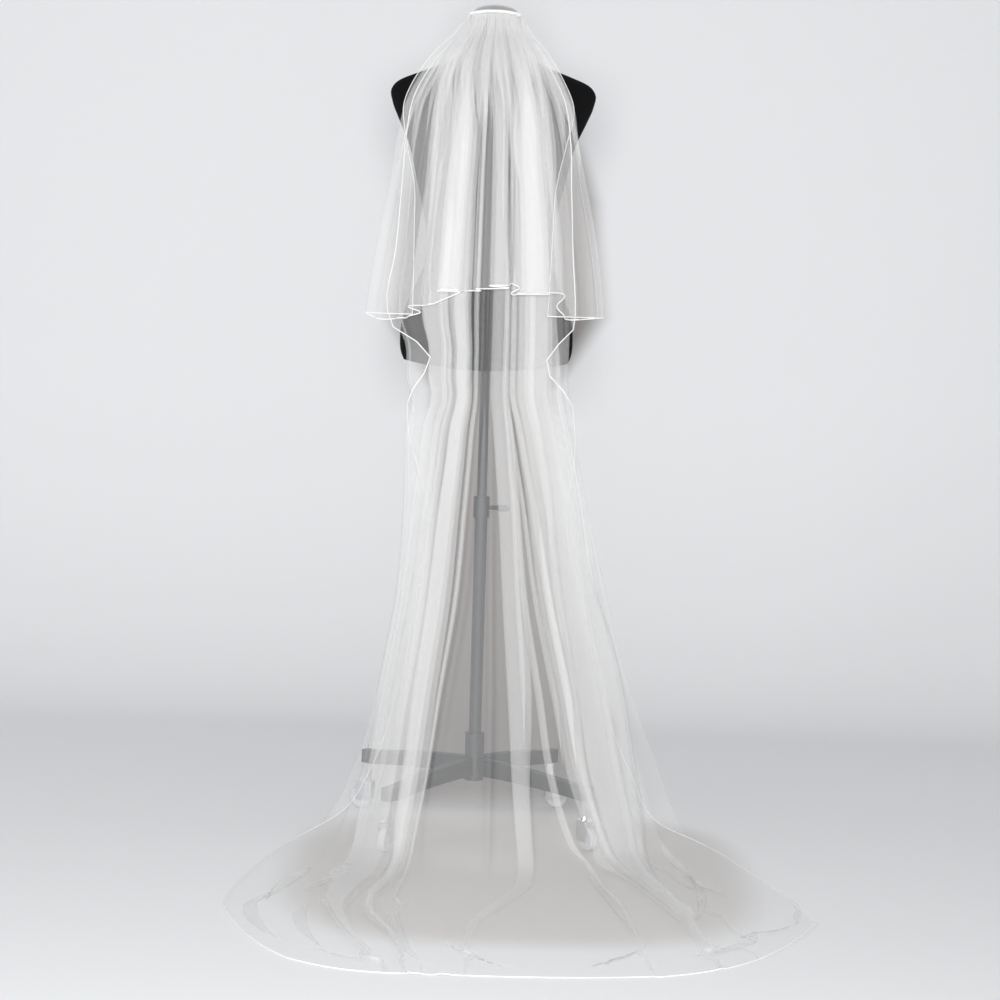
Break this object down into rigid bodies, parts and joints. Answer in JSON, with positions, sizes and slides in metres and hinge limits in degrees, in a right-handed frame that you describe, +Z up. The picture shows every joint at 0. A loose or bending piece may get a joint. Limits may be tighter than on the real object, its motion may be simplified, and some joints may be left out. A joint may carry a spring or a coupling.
{
  "type": "two-tier bridal veil on a limbless dress form stand",
  "caption": "Two-tier soft tulle bridal veil with a corded edge and a train, gathered on a comb at the neck of a black dress form on a wheeled stand.",
  "frame": {"origin": "middle of the footprint's bounding box, on the floor", "axes": "+Z up; the back of the veil and its train face -Y; +X to the right seen from behind"},
  "size_m": [0.9939, 1.2519, 1.5683],
  "materials": {
    "ivory_tulle": "soft fine net, sheer",
    "ivory_satin_cord": "satin corded thread",
    "black_jersey": "matt stretch jersey",
    "satin_silver": "satin",
    "dark_enamel": "dark grey enamel",
    "chrome": "bright chrome",
    "clear_plastic": "clear"
  },
  "bodies": {
    "display": {"dress_form_torso": "black_jersey", "neck_cap": "satin_silver", "pole_upper": "dark_enamel", "pole_lower": "dark_enamel", "pole_collar": "dark_enamel", "base_hub": "dark_enamel", "leg_1": "dark_enamel", "leg_2": "dark_enamel", "leg_3": "dark_enamel", "leg_4": "dark_enamel", "comb": "clear_plastic", "header_band": "ivory_satin_cord", "lower_tier": "ivory_tulle", "upper_tier": "ivory_tulle", "lower_edge_cord": "ivory_satin_cord", "upper_edge_cord": "ivory_satin_cord"},
    "thumbscrew": {"thumbscrew": "dark_enamel"},
    "caster_1": {"caster_fork_1": "chrome"},
    "wheel_1": {"caster_wheel_1": "clear_plastic"},
    "caster_2": {"caster_fork_2": "chrome"},
    "wheel_2": {"caster_wheel_2": "clear_plastic"},
    "caster_3": {"caster_fork_3": "chrome"},
    "wheel_3": {"caster_wheel_3": "clear_plastic"},
    "caster_4": {"caster_fork_4": "chrome"},
    "wheel_4": {"caster_wheel_4": "clear_plastic"}
  },
  "joints": [
    {"name": "caster_swivel_1", "type": "hinge", "parent": "display", "child": "caster_1", "pos_m": [0.12254, 0.24437, 0.056], "axis": [0, 0, 1], "continuous": true},
    {"name": "wheel_roll_1", "type": "hinge", "parent": "caster_1", "child": "wheel_1", "pos_m": [0.13004, 0.23138, 0.023], "axis": [0.866, 0.5, 0], "continuous": true},
    {"name": "caster_swivel_2", "type": "hinge", "parent": "display", "child": "caster_2", "pos_m": [0.06513, 0.60684, 0.056], "axis": [0, 0, 1], "continuous": true},
    {"name": "wheel_roll_2", "type": "hinge", "parent": "caster_2", "child": "wheel_2", "pos_m": [0.07923, 0.61197, 0.023], "axis": [-0.342, 0.9397, 0], "continuous": true},
    {"name": "caster_swivel_3", "type": "hinge", "parent": "display", "child": "caster_3", "pos_m": [-0.29734, 0.54943, 0.056], "axis": [0, 0, 1], "continuous": true},
    {"name": "wheel_roll_3", "type": "hinge", "parent": "caster_3", "child": "wheel_3", "pos_m": [-0.31183, 0.55331, 0.023], "axis": [-0.2588, -0.9659, 0], "continuous": true},
    {"name": "caster_swivel_4", "type": "hinge", "parent": "display", "child": "caster_4", "pos_m": [-0.23993, 0.18696, 0.056], "axis": [0, 0, 1], "continuous": true},
    {"name": "wheel_roll_4", "type": "hinge", "parent": "caster_4", "child": "wheel_4", "pos_m": [-0.24506, 0.17286, 0.023], "axis": [0.9397, -0.342, 0], "continuous": true},
    {"name": "thumbscrew_turn", "type": "hinge", "parent": "display", "child": "thumbscrew", "pos_m": [-0.07208, 0.39133, 0.622], "axis": [0.9397, -0.342, 0], "continuous": true}
  ]
}
